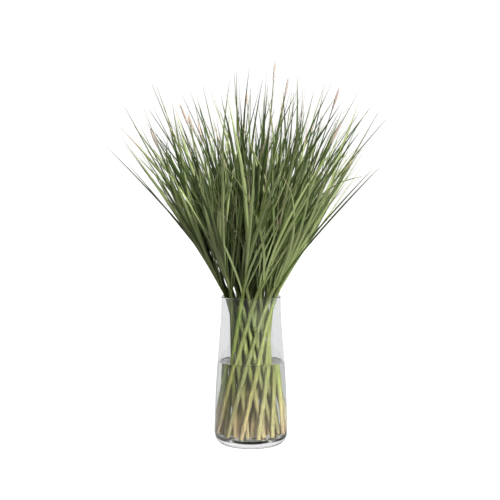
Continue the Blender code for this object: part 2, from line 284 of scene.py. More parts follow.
# Camera, floor and light
PHOTO_SIZE = 500
FOCAL_PIXELS = 950
SENSOR_WIDTH = 36.0
CAMERA_PLACE = (-0.0017, -1.593, 0.428)
CAMERA_PITCH = math.radians(3.61)
WHITE = (1.0, 1.0, 1.0, 1.0)
BACKDROP_GLOW = 1.05
FLOOR_SIZE = 40.0
FLOOR_DROP = 0.0003
FLOOR_SHADE = (0.12, 0.12, 0.12, 1.0)
FLOOR_ROUGHNESS = 0.8
FLOOR_GLOW = 0.95
FLOOR_GLOW_BEHIND_GLASS = 0.54
AMBIENT_IN_FRONT = (0.030, 0.031, 0.033, 1.0)
AMBIENT_BEHIND = (0.34, 0.345, 0.35, 1.0)
GLASS_SEES_IN_FRONT = (0.08, 0.08, 0.08, 1.0)
GLASS_SEES_BEHIND = (0.95, 0.92, 0.925, 1.0)
GLASS_SEES_ABOVE = (1.5, 1.48, 1.46, 1.0)
LAMPS_AIM = (0.0, 0.0, 0.35)
# Each lamp's place, softness, power and shade
KEY_LAMP = ((0.9, -1.6, 2.1), math.radians(24), 8.2, (1.0, 0.985, 0.955))
FILL_LAMP = ((-1.6, -0.9, 1.2), math.radians(50), 0.14, (0.95, 0.97, 1.0))


def smooth(line, steps):
    """A smooth curve through the points of a line, cut into even stretches."""
    line = np.asarray(line, float)
    along = np.concatenate(([0.0], np.cumsum(np.linalg.norm(np.diff(line, axis=0), axis=1))))
    slope = np.gradient(line, along, axis=0)
    places = np.linspace(0.0, along[-1], steps + 1)
    i = np.clip(np.searchsorted(along, places, side="right") - 1, 0, len(line) - 2)
    length = (along[i + 1] - along[i])[:, None]
    t = (places - along[i])[:, None] / length
    start = line[i] * (2 * t**3 - 3 * t**2 + 1) + slope[i] * length * (t**3 - 2 * t**2 + t)
    end = line[i + 1] * (3 * t**2 - 2 * t**3) + slope[i + 1] * length * (t**3 - t**2)
    return start + end


def level(heading):
    return np.array((math.cos(heading), math.sin(heading), 0.0))


def ring_reach(height):
    """The radius of the outermost stalks' centre lines at a height."""
    rise = height - WAIST_HEIGHT
    straight = math.hypot(WAIST_RADIUS, LEAN * rise)
    opening = math.log1p(math.exp((rise - FLARE_START) / FLARE_SOFTNESS))
    return straight + FLARE * FLARE_SOFTNESS * opening


def flow(stalk, height):
    """Where the centre line of a stalk passes a height."""
    share, bearing, way = stalk
    turn = math.atan(LEAN * (height - WAIST_HEIGHT) / WAIST_RADIUS)
    radius = share * ring_reach(height)
    angle = bearing + way * turn
    return np.array((radius * math.cos(angle), radius * math.sin(angle), height))


def crown_size(point):
    """0 at the foot of the crown and 1 on the dome that the tips reach."""
    up = max(point[2] - CROWN_FOOT, 0.0) / CROWN_RISE
    out = math.hypot(point[0], point[1]) / CROWN_REACH
    return (up**CROWN_POWER + out**CROWN_POWER) ** (1 / CROWN_POWER)


def lowest_past(path, size):
    """The first height at which a path passes a size of crown."""
    height = LOWEST_TIP
    while crown_size(path(height)) < size:
        height += TIP_STEP
    return height


def planned_stalks(draws):
    """(share of the waist's radius, bearing, way of twist) for every stalk, ring by ring."""
    stalks = []
    for count, share, way in RINGS:
        start = draws.uniform(0, math.tau)
        for i in range(count):
            bearing = start + (i + draws.uniform(-BEARING_PLAY, BEARING_PLAY)) * math.tau / count
            stalks.append((share + draws.uniform(-SHARE_PLAY, SHARE_PLAY), bearing, way))
    return stalks


def has_seeds(index):
    return index % SEED_EVERY == 0


def stem_line(index, stalk, draws):
    """The centre line and radii of a stem and the rolled spear leaf that it ends in."""
    size = draws.uniform(*SPEAR_SIZES)
    if index == TALLEST_STALK:
        size = TALLEST_SIZE
    tip = lowest_past(lambda z: flow(stalk, z), size)
    shares = SEED_SHARES if has_seeds(index) else SPEAR_SHARES
    neck = STEM_HEIGHTS[-1]
    heights = (*STEM_HEIGHTS, *(neck + share * (tip - neck) for share in shares))
    foot = flow(stalk, GLASS_FLOOR)
    slope = flow(stalk, STEM_HEIGHTS[0]) - foot
    foot[2] += TOUCHING_GAP + BUTT_RADIUS * math.hypot(slope[0], slope[1]) / slope[2]
    line = [foot, *(flow(stalk, height) for height in heights)]
    radii = (BUTT_RADIUS, *STEM_RADII, *(SEED_RADII if has_seeds(index) else SPEAR_RADII))
    return np.array(line), np.array(radii)


def leaning_line(stalk, root, heading, spread, size, power=LEAN_POWER):
    """A blade's line, which leaves its stem at a height and leans its own way up to the crown."""
    lean = level(heading) * spread

    def path(height):
        share = max(height - root, 0.0) / LEAN_RISE
        return flow(stalk, height) + lean * share**power

    tip = lowest_past(path, size)
    return np.array([path(root + share * (tip - root)) for share in BLADE_SHARES])


def arched_line(stalk, draws):
    """The centre line of a low blade, which leaves the bunch outwards and bends over to a level tip."""
    root = flow(stalk, ROOT_LOWEST)
    outward = level(math.atan2(root[1], root[0]) + draws.uniform(*ARCH_TURNS))
    rise, reach = draws.uniform(*ARCH_RISES), draws.uniform(*ARCH_REACHES)
    line = []
    for share in BLADE_SHARES:
        up = rise * (1 - (1 - share) ** 2)
        line.append(root + outward * reach * share**ARCH_POWER + np.array((0.0, 0.0, up)))
    return np.array(line)


def planned_blades(index, stalk, draws):
    """The lines of one stalk's blades before they are pushed clear."""
    start = draws.uniform(0, math.tau)
    lines = []
    for number in range(BLADES_PER_STALK):
        root, heading = ROOT_LOWEST + ROOT_STEP * number, start + number * GOLDEN_ANGLE
        spread = draws.uniform(*BLADE_SPREADS)
        lines.append(leaning_line(stalk, root, heading, spread, draws.uniform(*BLADE_SIZES)))
    if stalk[0] > ARCHED_FROM_SHARE and index % ARCHED_EVERY == 0:
        lines[0] = arched_line(stalk, draws)
    return lines


def on_line(line, height):
    """The point of a rising line at a height."""
    return np.array([np.interp(height, line[:, 2], line[:, axis]) for axis in range(3)])


def shares_at_closest(a0, a1, b0, b1):
    """How far along each of two sets of segments they come closest."""
    u, v, w = a1 - a0, b1 - b0, a0 - b0
    uu, vv, uv = (u * u).sum(1), (v * v).sum(1), (u * v).sum(1)
    uw, vw = (u * w).sum(1), (v * w).sum(1)
    s = np.clip((uv * vw - vv * uw) / np.maximum(uu * vv - uv * uv, NO_SQUARE), 0, 1)
    t = np.clip((uv * s + vw) / vv, 0, 1)
    return np.clip((uv * t - uw) / uu, 0, 1), t


def inside_glass(points, half, free):
    """The same points, with the free ones below the rim moved in to stand clear of the glass."""
    radii, heights = zip(*reversed(VASE_INSIDE))
    flats = math.cos(math.pi / VASE_SIDES)
    room = np.interp(points[:, 2], heights, radii) * flats - half - STEM_TO_GLASS
    reach = np.linalg.norm(points[:, :2], axis=1)
    below = (points[:, 2] < VASE_HEIGHT + RIM_ALLOWANCE) & (free[:, 0] > 0)
    shrink = np.where(below & (reach > room), room / np.maximum(reach, NO_LENGTH), 1.0)
    return points * np.column_stack((shrink, shrink, np.ones_like(shrink)))


class Thicket:
    """Every line of the bunch as one set of points and segments that keep clear of each other."""

    def __init__(self):
        self.points, self.half, self.free = [], [], []
        self.first, self.owner, self.before, self.after = [], [], [], []
        self.spans = []

    def add(self, line, half, free, owner):
        start, count = len(self.points), len(line)
        self.points.extend(line)
        self.half.extend(half)
        self.free.extend(free)
        self.first.extend(range(start, start + count - 1))
        self.owner.extend([owner] * (count - 1))
        self.before.extend(max(i - 1, start) for i in range(start, start + count))
        self.after.extend(min(i + 1, start + count - 1) for i in range(start, start + count))
        self.spans.append((start, start + count))

    def near_pairs(self, points, first, owner):
        """Pairs of segments of different stalks that could touch."""
        middle = (points[first] + points[first + 1]) / 2
        reach = np.linalg.norm(points[first + 1] - points[first], axis=1) / 2 + NEAR_MARGIN
        apart = np.linalg.norm(middle[:, None] - middle[None], axis=2)
        close = (apart < reach[:, None] + reach[None]) & (owner[:, None] < owner[None])
        return np.nonzero(close)

    def clashes(self, points, half, first, pairs, gap):
        """Where each near pair comes closest, and how much too near that is."""
        a, b = first[pairs[0]], first[pairs[1]]
        s, t = shares_at_closest(points[a], points[a + 1], points[b], points[b + 1])
        s, t = s[:, None], t[:, None]
        on_a = points[a] * (1 - s) + points[a + 1] * s
        on_b = points[b] * (1 - t) + points[b + 1] * t
        need = half[a] * (1 - s[:, 0]) + half[a + 1] * s[:, 0] + gap
        need += half[b] * (1 - t[:, 0]) + half[b + 1] * t[:, 0]
        between = on_a - on_b
        distance = np.linalg.norm(between, axis=1)
        return a, b, s, t, between, distance, need - distance

    def settle(self, gap, rounds):
        """Pushes lines of different stalks apart, a little in each round, and keeps them fair."""
        points, half = np.array(self.points), np.array(self.half)
        free, first = np.array(self.free)[:, None], np.array(self.first)
        owner = np.array(self.owner)
        before, after = np.array(self.before), np.array(self.after)
        for turn in range(rounds):
            if turn % ROUNDS_PER_SEARCH == 0:
                pairs = self.near_pairs(points, first, owner)
            a, b, s, t, between, distance, short = self.clashes(points, half, first, pairs, gap)
            hit = short > 0
            a, b, s, t = a[hit], b[hit], s[hit], t[hit]
            push = between[hit] / np.maximum(distance[hit], NO_LENGTH)[:, None] * short[hit][:, None]
            moved = np.zeros_like(points)
            for ends, shares, way in ((a, s, PUSH_SHARE), (b, t, -PUSH_SHARE)):
                np.add.at(moved, ends, push * (1 - shares) * way)
                np.add.at(moved, ends + 1, push * shares * way)
            moved = np.clip(moved, -LARGEST_PUSH, LARGEST_PUSH) * free
            moved = moved * OWN_PUSH + (moved[before] + moved[after]) * NEIGHBOUR_PUSH
            points = inside_glass(points + moved * free, half, free)
        return [points[start:end] for start, end in self.spans]


def settled_stems(stalks, draws):
    """Stem lines and radii, with the stems clear of each other from the floor to their tips."""
    lines = [stem_line(i, stalk, draws) for i, stalk in enumerate(stalks)]
    thicket = Thicket()
    for i, (line, radii) in enumerate(lines):
        free = [*STEM_FREEDOM, *[1.0] * (len(line) - len(STEM_FREEDOM))]
        thicket.add(line, radii, free, i)
    settled = thicket.settle(STEM_GAP, STEM_ROUNDS)
    return [(line, radii) for line, (_, radii) in zip(settled, lines)]


def settled_blades(stalks, stems, draws):
    """For each stalk its blade lines, clear of the stems and blades of all other stalks."""
    thicket, owners = Thicket(), []
    for i, (line, radii) in enumerate(stems):
        thicket.add(line, radii, [0.0] * len(line), i)
    half = [width / 2 for width in BLADE_WIDTHS]
    for i, stalk in enumerate(stalks):
        for line in planned_blades(i, stalk, draws):
            line += on_line(stems[i][0], line[0][2]) - line[0]
            thicket.add(line, half, BLADE_FREEDOM, i)
            owners.append(i)
    settled = thicket.settle(BLADE_GAP, BLADE_ROUNDS)[len(stems):]
    blades = [[] for _ in stalks]
    for i, line in zip(owners, settled):
        blades[i].append(line)
    return blades


def in_box(line):
    """The line drawn in towards its root until all of it is inside the frame's box."""
    low, high = np.array(CAD_BOX[0]) + BOX_MARGIN, np.array(CAD_BOX[1]) - BOX_MARGIN
    while not ((line > low) & (line < high)).all():
        line = line[0] + (line - line[0]) * DRAWN_IN
    return line


def fine_blades(stalks, stems, blades, draws):
    """For each stalk its finer blades as (line, widest), pushed clear of all that the frame holds."""
    thicket, planned = Thicket(), []
    for i, (line, radii) in enumerate(stems):
        thicket.add(line, radii, [0.0] * len(line), i)
        for blade in blades[i]:
            thicket.add(blade, [w / 2 for w in BLADE_WIDTHS], [0.0] * len(blade), i)
    fixed = len(thicket.spans)
    for i, stalk in enumerate(stalks):
        start = draws.uniform(0, math.tau)
        for number in range(FINE_BLADES):
            root = draws.uniform(*FINE_ROOTS)
            widest, size = draws.uniform(*FINE_WIDTHS), draws.uniform(*FINE_SIZES)
            heading, spread = start + number * GOLDEN_ANGLE, draws.uniform(*FINE_SPREADS)
            power = LEAN_POWER
            if number % FILLING_EVERY == 0:
                stem_x, stem_y, _ = on_line(stems[i][0], root)
                inward = math.atan2(stem_y, stem_x) + math.pi
                heading = inward + draws.uniform(-FILLING_TURN, FILLING_TURN)
                root, spread = draws.uniform(*FILLING_ROOTS), draws.uniform(*FILLING_SPREADS)
                power = FILLING_POWER
            line = leaning_line(stalk, root, heading, spread, size, power)
            line += on_line(stems[i][0], root) - line[0]
            half = np.array(BLADE_WIDTHS) / max(BLADE_WIDTHS) * widest / 2
            thicket.add(line, half, BLADE_FREEDOM, i)
            planned.append((i, widest))
    settled = thicket.settle(FINE_GAP, FINE_ROUNDS)[fixed:]
    found = [[] for _ in stalks]
    for (i, widest), line in zip(planned, settled):
        found[i].append((in_box(line), widest))
    return found


def wisp_lines(stems, draws):
    """(stalk, line) of each dry wisp, which leaves a stem, kinks once and ends nearly level."""
    wisps = []
    for _ in range(WISPS):
        i = int(draws.integers(0, RINGS[0][0] + RINGS[1][0]))
        root = on_line(stems[i][0], draws.uniform(*WISP_ROOTS))
        heading = math.atan2(root[1], root[0]) + draws.uniform(-WISP_TURN, WISP_TURN)
        reach, rise = draws.uniform(*WISP_REACHES), draws.uniform(*WISP_RISES)
        kink = draws.uniform(-WISP_KINK, WISP_KINK)
        line = []
        for share in BLADE_SHARES:
            bend = heading + kink * max(share - WISP_KINK_FROM, 0.0)
            up = np.array((0.0, 0.0, rise * (1 - (1 - share) ** WISP_BEND)))
            line.append(root + level(bend) * reach * share + up)
        wisps.append((i, in_box(np.array(line))))
    return wisps


def crossing_blades(stems, draws):
    """(stalk, line, widest) of each blade that crosses over the outside of the bunch."""
    crossings = []
    for _ in range(CROSSINGS):
        i = int(draws.integers(0, RINGS[0][0]))
        root = on_line(stems[i][0], draws.uniform(*CROSSING_ROOTS))
        bearing, start = math.atan2(root[1], root[0]), math.hypot(root[0], root[1])
        turn = draws.uniform(*CROSSING_TURNS) * draws.choice((-1.0, 1.0))
        rise, tip = draws.uniform(*CROSSING_RISES), draws.uniform(*CROSSING_TIPS)
        line = []
        for share in BLADE_SHARES:
            height = root[2] + rise * (1 - (1 - share) ** CROSSING_BEND)
            radius = start + ring_reach(height) - ring_reach(root[2]) + tip * share**3
            radius += CROSSING_CLEARANCE * min(share / CROSSING_CLEAR_BY, 1.0)
            line.append(level(bearing + turn * share) * radius + np.array((0.0, 0.0, height)))
        crossings.append((i, in_box(np.array(line)), draws.uniform(*CROSSING_WIDTHS)))
    return crossings


def deselect():
    for made in bpy.context.selected_objects:
        made.select_set(False)
    bpy.context.view_layer.objects.active = None


def pick(made, chosen):
    """In edit mode, selects just the vertices whose place passes a test."""
    bpy.ops.mesh.select_mode(type="VERT")
    bpy.ops.mesh.select_all(action="DESELECT")
    bpy.ops.object.mode_set(mode="OBJECT")
    for vertex in made.data.vertices:
        vertex.select = chosen(vertex.co)
    bpy.ops.object.mode_set(mode="EDIT")


def apply_all(made):
    deselect()
    made.select_set(True)
    bpy.context.view_layer.objects.active = made
    for modifier in list(made.modifiers):
        bpy.ops.object.modifier_apply(modifier=modifier.name)


def leaf_coordinates(made, is_round=False):
    """A UV map with U across or around the pattern and V along it, whole on every face."""
    mesh = made.data
    layer = mesh.uv_layers.new(name="leaf")
    for face in mesh.polygons:
        corners = [mesh.vertices[mesh.loops[i].vertex_index].co for i in face.loop_indices]
        across = [co.x + 0.5 for co in corners]
        if is_round:
            across = [(math.atan2(co.z, co.x) / math.tau) % 1.0 for co in corners]
            if max(across) - min(across) > 0.5 and len(across) == 4:
                across = [u + 1.0 if u < 0.5 else u for u in across]
        for i, u, co in zip(face.loop_indices, across, corners):
            layer.data[i].uv = (u, co.y)


def blade_pattern():
    """A straight blade, one wide and one long, folded along its midrib and closed all round."""
    deselect()
    bpy.ops.mesh.primitive_grid_add(
        x_subdivisions=2, y_subdivisions=BLADE_STRETCHES, size=1.0, location=(0.0, 0.5, 0.0)
    )
    pattern = bpy.context.object
    pattern.name = "blade_pattern"
    bpy.ops.object.transform_apply(location=True, rotation=True, scale=True)
    bpy.ops.object.mode_set(mode="EDIT")
    pick(pattern, lambda co: abs(co.x) < ON_RIB)
    bpy.ops.transform.translate(value=(0.0, 0.0, BLADE_FOLD))
    pick(pattern, lambda co: co.y > AT_TIP)
    bpy.ops.mesh.merge(type="CENTER")
    bpy.ops.object.mode_set(mode="OBJECT")
    wall = pattern.modifiers.new("thickness", "SOLIDIFY")
    wall.thickness = BLADE_THICKNESS
    wall.offset = 0.0
    apply_all(pattern)
    bpy.ops.object.shade_smooth_by_angle(angle=BLADE_CREASE)
    leaf_coordinates(pattern)
    return pattern


def drawn_out(name, sides, radius, stretches):
    """A closed rod along Y: a disc drawn out by stretches of (rise, widening)."""
    deselect()
    bpy.ops.mesh.primitive_circle_add(
        vertices=sides, radius=radius, fill_type="NGON", rotation=(math.pi / 2, 0.0, 0.0)
    )
    rod = bpy.context.object
    rod.name = name
    bpy.ops.object.transform_apply(location=True, rotation=True, scale=True)
    bpy.ops.object.mode_set(mode="EDIT")
    bpy.ops.mesh.select_all(action="SELECT")
    for rise, widening in stretches:
        bpy.ops.mesh.extrude_region_move(TRANSFORM_OT_translate={"value": (0.0, rise, 0.0)})
        bpy.ops.transform.resize(value=(widening, 1.0, widening))
    bpy.ops.mesh.select_all(action="SELECT")
    bpy.ops.mesh.normals_make_consistent(inside=False)
    bpy.ops.object.mode_set(mode="OBJECT")
    bpy.context.view_layer.objects.active = rod
    return rod


def stem_pattern():
    """A straight stem of radius one and length one, wrapped in a sheath whose edge stands proud."""
    stretches = [(1.0 / STEM_STRETCHES, 1.0)] * STEM_STRETCHES
    pattern = drawn_out("stem_pattern", STEM_SIDES, 1.0, stretches)
    for vertex in pattern.data.vertices:
        turn = (math.atan2(vertex.co.z, vertex.co.x) / math.tau) % 1.0
        vertex.co.x *= 1.0 - SHEATH_STEP * turn
        vertex.co.z *= 1.0 - SHEATH_STEP * turn
    bpy.ops.object.shade_smooth_by_angle(angle=ROUND_CREASE)
    leaf_coordinates(pattern, is_round=True)
    return pattern


def husk_pattern():
    """A seed husk: one long, pointed at both ends and widest below its middle."""
    pattern = drawn_out("husk_pattern", HUSK_SIDES, HUSK_FOOT, HUSK_STRETCHES)
    bpy.ops.object.shade_smooth_by_angle(angle=HUSK_CREASE)
    leaf_coordinates(pattern, is_round=True)
    return pattern


def copy_of(pattern, name, places, finish, tone, dryness):
    """A copy of a pattern with its own mesh and tone, its vertices at new places in the frame's box."""
    places = np.clip(places, CAD_BOX[0], CAD_BOX[1])
    made = bpy.data.objects.new(name, pattern.data.copy())
    bpy.context.scene.collection.objects.link(made)
    made.data.vertices.foreach_set("co", np.asarray(places, np.float32).ravel())
    made.data.materials.clear()
    made.data.materials.append(finish)
    for title, value in (("tone", tone), ("dryness", dryness)):
        attribute = made.data.attributes.new(title, "FLOAT", "POINT")
        attribute.data.foreach_set("value", np.full(len(places), value, np.float32))
    made.data.update()
    return made


def pattern_places(pattern):
    places = np.empty(len(pattern.data.vertices) * 3, np.float32)
    pattern.data.vertices.foreach_get("co", places)
    return places.reshape(-1, 3).astype(float)


def laid(places, line, sizes, side, twist=0.0, wrap=0.0):
    """Pattern places (across, along, under) bent along a line, sized and twisted on the way."""
    along = np.gradient(line, axis=0)
    along /= np.linalg.norm(along, axis=1)[:, None]
    across = side - along * (along @ side)[:, None]
    across /= np.linalg.norm(across, axis=1)[:, None]
    under = np.cross(across, along)
    stations = np.linspace(0.0, 1.0, len(line))
    share = np.clip(places[:, 1], 0.0, 1.0)

    def at(values):
        return np.column_stack([np.interp(share, stations, values[:, k]) for k in range(3)])

    size = np.interp(share, np.linspace(0.0, 1.0, len(sizes)), sizes)[:, None]
    turn = (twist * share)[:, None]
    level_out, deep = at(across), at(under)
    wide = level_out * np.cos(turn) + deep * np.sin(turn)
    down = deep * np.cos(turn) - level_out * np.sin(turn)
    folded = places[:, 2:3] * (1 + wrap * np.exp(-share / ROOT_WRAP_LENGTH))[:, None]
    return at(line) + wide * places[:, 0:1] * size + down * folded * size


def side_of(line):
    """The level direction square to the way that a line leans."""
    outward = line[-1] - line[0]
    outward[2] = 0.0
    outward /= max(np.linalg.norm(outward), NO_LENGTH)
    return np.cross((0.0, 0.0, 1.0), outward)


def width_along(widest, steps):
    """A blade's width at even stretches: quickly to its widest, then a long taper to its tip."""
    known = np.array(TAPERED_WIDTHS) * widest
    return np.interp(np.linspace(0.0, 1.0, steps + 1), BLADE_SHARES, known)


def lay_blade(pattern, places, name, line, widest, finish, draws, tone, dryness=None):
    fair = smooth(line, BLADE_STRETCHES)
    twist = draws.uniform(-BLADE_TWIST, BLADE_TWIST)
    if dryness is None:
        dryness = draws.uniform(*GREEN_DRYNESS) + (draws.uniform(0, 1) < DRIER_SHARE) * DRIER_BY
    widths = width_along(widest, BLADE_STRETCHES)
    shape = laid(places, fair, widths, side_of(line), twist, ROOT_WRAP)
    return copy_of(pattern, name, shape, finish, tone, dryness)


def lay_stem(pattern, places, name, line, radii, finish, draws, seeding):
    """The stem and its spear leaf. It is laid on a smooth curve that stays on the frame's line."""
    if seeding:
        radii = np.concatenate((radii[:-len(RACHIS_RADII)], RACHIS_RADII))
    fair = smooth(line, STEM_STRETCHES)
    length = np.concatenate(([0.0], np.cumsum(np.linalg.norm(np.diff(line, axis=0), axis=1))))
    sizes = np.interp(np.linspace(0.0, length[-1], STEM_STRETCHES * 2 + 1), length, radii)
    side = level(draws.uniform(0, math.tau))
    return copy_of(pattern, name, laid(places, fair, sizes, side), finish, draws.uniform(0, 1), 0.0)


def lay_husks(pattern, places, name, line, finish, draws):
    """The husks of a seed head, in a spiral along the last stretch of a stem's line."""
    fair = smooth(line, HEAD_STEPS)
    head = fair[-1 - round(HEAD_STEPS * draws.uniform(*HEAD_SHARES)):]
    axis = head[-1] - head[0]
    axis /= np.linalg.norm(axis)
    ripeness = draws.uniform(*RIPENESS)
    husks = []
    for number in range(HUSK_COUNT):
        share = HUSKED_SHARE * number / HUSK_COUNT
        foot = np.array([np.interp(share, np.linspace(0, 1, len(head)), head[:, k]) for k in range(3)])
        out = level(number * GOLDEN_ANGLE)
        out -= axis * (axis @ out)
        out /= np.linalg.norm(out)
        fullness = math.sin(math.pi * (HUSK_FULLNESS_START + HUSK_FULLNESS_RUN * share))
        way = axis + out * HUSK_LEAN * fullness
        way /= np.linalg.norm(way)
        long = HUSK_LENGTH * (1.0 - HUSK_SHORTENING * share) * draws.uniform(*HUSK_LENGTH_PLAY)
        path = np.array([foot, foot + way * long])
        shape = laid(places, path, np.full(2, HUSK_WIDTH * fullness), np.cross(way, out))
        tone = ripeness + draws.uniform(*RIPENESS_PLAY)
        husks.append(copy_of(pattern, f"{name}_husk", shape, finish, tone, 1.0))
    return husks


def joined(name, pieces):
    """The pieces as one object, at the origin and unturned."""
    deselect()
    for piece in pieces:
        piece.select_set(True)
    bpy.context.view_layer.objects.active = pieces[0]
    bpy.ops.object.join()
    made = bpy.context.object
    made.name = name
    return made


def node(tree, kind, inputs=(), **settings):
    """A node with its settings, its named or numbered inputs set or joined to sockets."""
    made = tree.nodes.new(kind)
    for key, value in settings.items():
        setattr(made, key, value)
    for key, value in dict(inputs).items():
        if isinstance(value, bpy.types.NodeSocket):
            tree.links.new(value, made.inputs[key])
        else:
            made.inputs[key].default_value = value
    return made


def maths(tree, operation, a, b=0.0):
    return node(tree, "ShaderNodeMath", {0: a, 1: b}, operation=operation).outputs[0]


def mixed(tree, share, a, b):
    """Two colours mixed. Each may be a colour or a socket."""
    return node(tree, "ShaderNodeMix", {0: share, 6: a, 7: b}, data_type="RGBA").outputs[2]


def stepped(tree, value, low, high):
    """0 below low, 1 above high, and smooth between."""
    inputs = {"Value": value, "From Min": low, "From Max": high}
    made = node(tree, "ShaderNodeMapRange", inputs, interpolation_type="SMOOTHSTEP")
    return made.outputs["Result"]


def colour(red, green, blue):
    """A colour of the screen, 0 to 255, as the shaders count it."""
    shares = (value / 255 for value in (red, green, blue))
    return (*(s / 12.92 if s <= 0.04045 else ((s + 0.055) / 1.055) ** 2.4 for s in shares), 1.0)


def new_group(title, inputs, outputs):
    group = bpy.data.node_groups.new(title, "ShaderNodeTree")
    for name, kind in inputs:
        group.interface.new_socket(name=name, in_out="INPUT", socket_type=kind)
    for name, kind in outputs:
        group.interface.new_socket(name=name, in_out="OUTPUT", socket_type=kind)
    return group, group.nodes.new("NodeGroupInput"), group.nodes.new("NodeGroupOutput")


def vein_group():
    """Fine lines along a leaf or a stem, a little uneven, from its U and V."""
    group, start, end = new_group(
        "long veins",
        (("Leaf", "NodeSocketVector"), ("Lines", "NodeSocketFloat"), ("Unevenness", "NodeSocketFloat")),
        (("Mask", "NodeSocketFloat"), ("Streak", "NodeSocketFloat")),
    )
    split = node(group, "ShaderNodeSeparateXYZ", {0: start.outputs["Leaf"]})
    turns = maths(group, "MULTIPLY", start.outputs["Lines"], math.tau)
    wave = maths(group, "SINE", maths(group, "MULTIPLY", split.outputs["X"], turns))
    wave = maths(group, "MULTIPLY_ADD", wave, 0.5)
    wave.node.inputs[2].default_value = 0.5
    stretched = node(group, "ShaderNodeMapping", {"Vector": start.outputs["Leaf"], "Scale": (26, 5, 1)})
    noise = node(group, "ShaderNodeTexNoise", {"Vector": stretched.outputs[0], "Scale": 1.0, "Detail": 3.0})
    streak = stepped(group, noise.outputs["Fac"], 0.35, 0.68)
    mask = node(
        group, "ShaderNodeMix", {0: start.outputs["Unevenness"], 2: wave, 3: streak}, data_type="FLOAT"
    )
    group.links.new(mask.outputs[0], end.inputs["Mask"])
    group.links.new(streak, end.inputs["Streak"])
    return group


def drying_group():
    """How dry a leaf is at a place: from its own dryness, most at the tip, with an uneven edge."""
    group, start, end = new_group(
        "drying tip",
        (("Leaf", "NodeSocketVector"), ("Dryness", "NodeSocketFloat"), ("Patch Size", "NodeSocketFloat")),
        (("Mask", "NodeSocketFloat"), ("Brown Edge", "NodeSocketFloat")),
    )
    split = node(group, "ShaderNodeSeparateXYZ", {0: start.outputs["Leaf"]})
    place = node(group, "ShaderNodeTexCoord").outputs["Object"]
    noise = node(group, "ShaderNodeTexNoise", {"Vector": place, "Scale": start.outputs["Patch Size"]})
    ragged = maths(group, "MULTIPLY", maths(group, "SUBTRACT", noise.outputs["Fac"], 0.5), 0.16)
    along = maths(group, "ADD", split.outputs["Y"], ragged)
    past = maths(group, "ADD", along, start.outputs["Dryness"])
    group.links.new(stepped(group, past, 0.95, 1.06), end.inputs["Mask"])
    group.links.new(stepped(group, past, 1.14, 0.98), end.inputs["Brown Edge"])
    return group


def mottle_group():
    """A slow drift of tone over the whole bunch, with finer specks."""
    group, start, end = new_group(
        "mottle",
        (("Size", "NodeSocketFloat"), ("Specks", "NodeSocketFloat")),
        (("Drift", "NodeSocketFloat"), ("Speck", "NodeSocketFloat")),
    )
    place = node(group, "ShaderNodeTexCoord").outputs["Object"]
    for scale, low, high, mask in (("Size", 0.32, 0.68, "Drift"), ("Specks", 0.60, 0.78, "Speck")):
        inputs = {"Vector": place, "Scale": start.outputs[scale], "Detail": 2.0}
        noise = node(group, "ShaderNodeTexNoise", inputs)
        group.links.new(stepped(group, noise.outputs["Fac"], low, high), end.inputs[mask])
    return group


def placed(tree, group, inputs):
    return node(tree, "ShaderNodeGroup", inputs, node_tree=group)


def new_finish(name):
    made = bpy.data.materials.new(name)
    made.use_nodes = True
    return made, made.node_tree, made.node_tree.nodes["Principled BSDF"]


def attribute(tree, name):
    return node(tree, "ShaderNodeAttribute", attribute_name=name).outputs["Fac"]


def roughened(tree, shader, height, depth, roughness, spread):
    """Gives a shader its bump and a roughness that follows the same height."""
    inputs = {"Height": height, "Distance": depth, "Strength": BUMP_STRENGTH}
    bump = node(tree, "ShaderNodeBump", inputs)
    tree.links.new(bump.outputs[0], shader.inputs["Normal"])
    rough = maths(tree, "ADD", maths(tree, "MULTIPLY", height, spread), roughness)
    tree.links.new(rough, shader.inputs["Roughness"])


